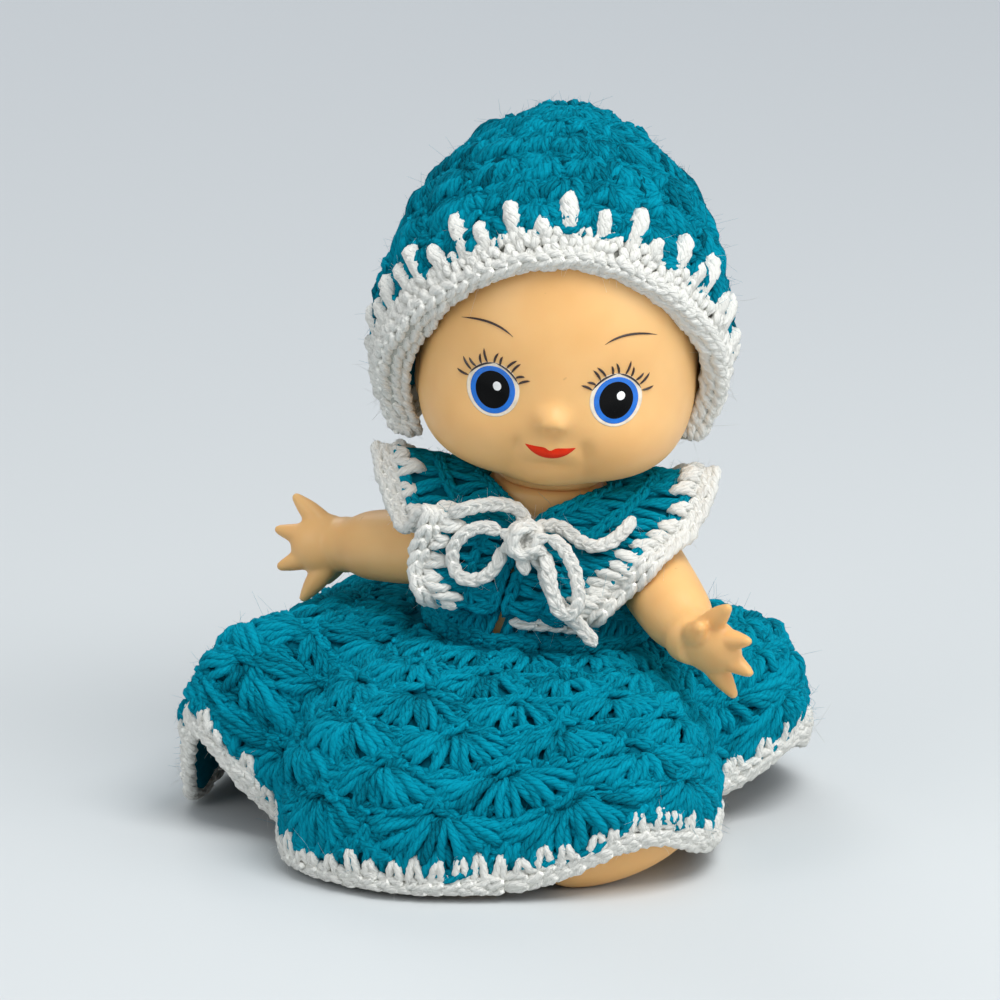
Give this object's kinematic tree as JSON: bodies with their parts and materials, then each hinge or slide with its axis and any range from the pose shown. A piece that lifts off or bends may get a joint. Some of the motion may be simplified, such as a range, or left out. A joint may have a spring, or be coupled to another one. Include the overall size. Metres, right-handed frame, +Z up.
{
  "type": "baby doll",
  "caption": "Seated vinyl baby doll with turning head, arms and legs, in a crocheted teal dress with a flounced collar and a matching bonnet.",
  "frame": {"origin": "centre of the level seat on the surface that the doll sits on", "axes": "+Z up, the doll faces -Y and its left side is +X; the body leans 4.5 degrees to +X"},
  "size_m": [0.1577, 0.1538, 0.1818],
  "materials": {
    "vinyl_skin": "soft satin vinyl in a warm peach tone, with painted eyes, brows and lips",
    "teal_yarn": "fuzzy plied acrylic yarn, crocheted in rows of shells",
    "white_yarn": "fuzzy plied white yarn, crocheted in single crochet and chains"
  },
  "bodies": {
    "torso": {"torso": "vinyl_skin", "bodice": "teal_yarn", "collar_left": "teal_yarn", "collar_right": "teal_yarn", "collar_trim_left": "white_yarn", "collar_trim_right": "white_yarn", "skirt": "teal_yarn", "skirt_hem_trim": "white_yarn", "tie_knot": "white_yarn", "tie_loop_left": "white_yarn", "tie_loop_right": "white_yarn", "tie_tail": "white_yarn"},
    "head": {"head": "vinyl_skin"},
    "bonnet": {"bonnet_crown": "teal_yarn", "bonnet_band": "white_yarn"},
    "arm_left": {"arm_left": "vinyl_skin"},
    "arm_right": {"arm_right": "vinyl_skin"},
    "leg_left": {"leg_left": "vinyl_skin"},
    "leg_right": {"leg_right": "vinyl_skin"}
  },
  "joints": [
    {"name": "head_turn", "type": "hinge", "parent": "torso", "child": "head", "pos_m": [0.00675, 0, 0.08573], "axis": [0.0785, 0, 0.9969], "continuous": true},
    {"name": "bonnet_lift", "type": "slide", "parent": "head", "child": "bonnet", "axis": [0.0785, 0, 0.9969], "range_m": [0, 0.09]},
    {"name": "arm_left_turn", "type": "hinge", "parent": "torso", "child": "arm_left", "pos_m": [0.00529, 0, 0.06719], "axis": [0.9751, -0.2079, -0.0767], "range_deg": [-2, 10]},
    {"name": "arm_right_turn", "type": "hinge", "parent": "torso", "child": "arm_right", "pos_m": [0.00529, 0, 0.06719], "axis": [0.9751, 0.2079, -0.0767], "range_deg": [-3, 34]},
    {"name": "leg_left_swing", "type": "hinge", "parent": "torso", "child": "leg_left", "pos_m": [0.00133, -0.004, 0.01695], "axis": [0.9969, 0, -0.0785], "range_deg": [0, 85]},
    {"name": "leg_right_swing", "type": "hinge", "parent": "torso", "child": "leg_right", "pos_m": [0.00133, -0.004, 0.01695], "axis": [0.9969, 0, -0.0785], "range_deg": [0, 85]}
  ]
}
